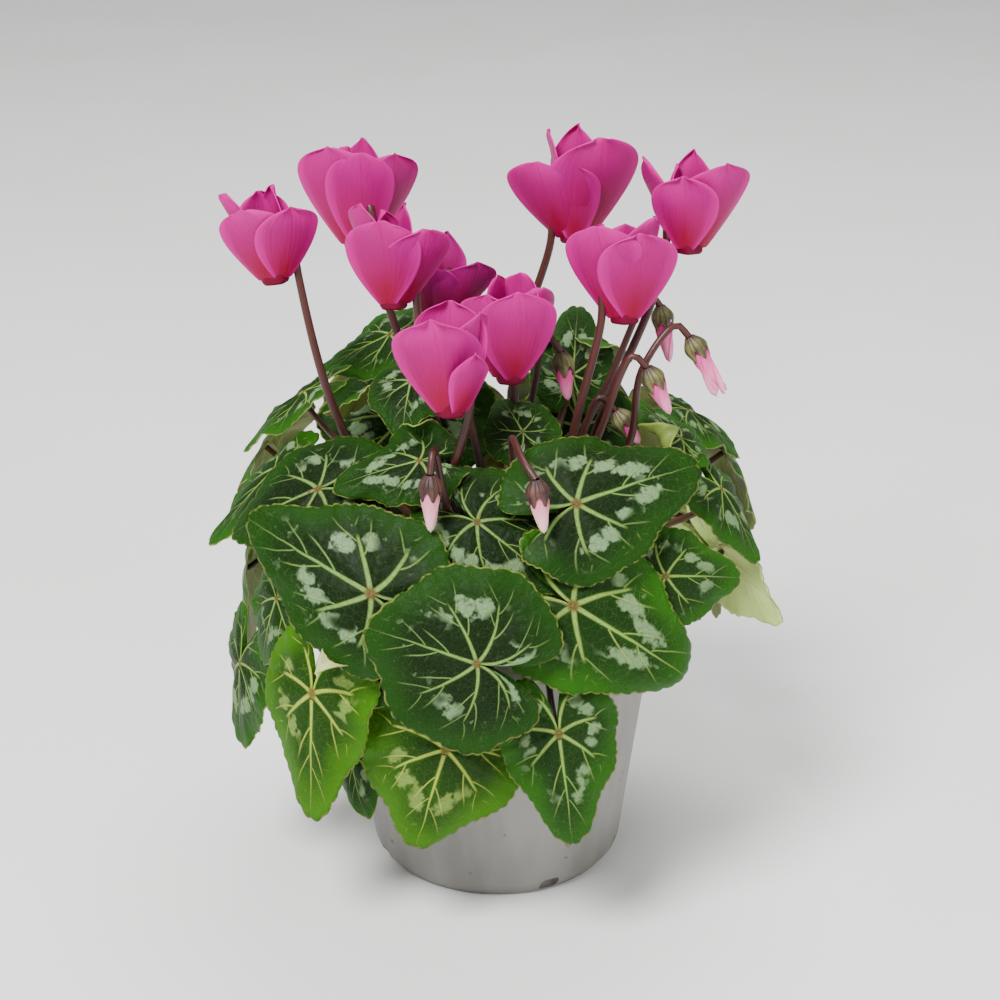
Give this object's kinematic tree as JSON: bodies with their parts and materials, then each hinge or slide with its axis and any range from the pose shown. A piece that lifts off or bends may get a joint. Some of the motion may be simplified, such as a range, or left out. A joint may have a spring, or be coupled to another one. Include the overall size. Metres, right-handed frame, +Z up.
{
  "type": "potted cyclamen",
  "caption": "Flowering cyclamen in a tapered plastic nursery pot: heart-shaped marbled leaves in a low dome, swept-back blooms and nodding buds on bare stems.",
  "frame": {"origin": "centre of the pot's flat foot, where it rests", "axes": "+Z up through the pot's axis, -Y towards the front of the plant, +X to its right"},
  "size_m": [0.1836, 0.178, 0.2507],
  "materials": {
    "pot": "thin grey plastic, half matt, with dry soil specks",
    "soil": "dark moist peat crumbs",
    "tuber": "rough brown corky skin",
    "leaf": "satin dark green with silver-green marks and pale veins",
    "stem": "satin brown-red, fleshy",
    "petal": "soft matt magenta pink, crimson towards the mouth",
    "bud": "soft matt pale pink, twisted"
  },
  "bodies": {
    "root": {"pot": "pot", "soil": "soil", "tuber": "tuber", "leaf_front": "leaf", "leaf_big_right": "leaf", "leaf_centre": "leaf", "leaf_big_left": "leaf", "leaf_right_low": "leaf", "leaf_front_right": "leaf", "leaf_front_left": "leaf", "leaf_left_low": "leaf", "leaf_far_left": "leaf", "leaf_between": "leaf", "leaf_upper_left": "leaf", "leaf_mid_left": "leaf", "leaf_top_left": "leaf", "leaf_back_left_top": "leaf", "leaf_far_left_high": "leaf", "leaf_left_drop": "leaf", "leaf_right_mid": "leaf", "leaf_right_side": "leaf", "leaf_right_sliver": "leaf", "leaf_far_right": "leaf", "leaf_top_back": "leaf", "leaf_centre_small": "leaf", "leaf_back_1": "leaf", "leaf_back_2": "leaf", "leaf_back_3": "leaf", "flower_1_stem": "stem", "flower_1_petals": "petal", "flower_2_stem": "stem", "flower_2_petals": "petal", "flower_3_stem": "stem", "flower_3_petals": "petal", "flower_4_stem": "stem", "flower_4_petals": "petal", "flower_5_stem": "stem", "flower_5_petals": "petal", "flower_6_stem": "stem", "flower_6_petals": "petal", "flower_7_stem": "stem", "flower_7_petals": "petal", "flower_8_stem": "stem", "flower_8_petals": "petal", "flower_9_stem": "stem", "flower_9_petals": "petal", "bud_1_stem": "stem", "bud_1_petals": "petal", "bud_2_stem": "stem", "bud_2_petals": "petal", "bud_3_stem": "stem", "bud_3_petals": "petal", "bud_4_stem": "stem", "bud_4_petals": "petal", "bud_5_stem": "stem", "bud_5_petals": "petal", "bud_6_stem": "stem", "bud_6_petals": "petal", "bud_7_stem": "stem", "bud_7_petals": "petal"}
  },
  "joints": []
}
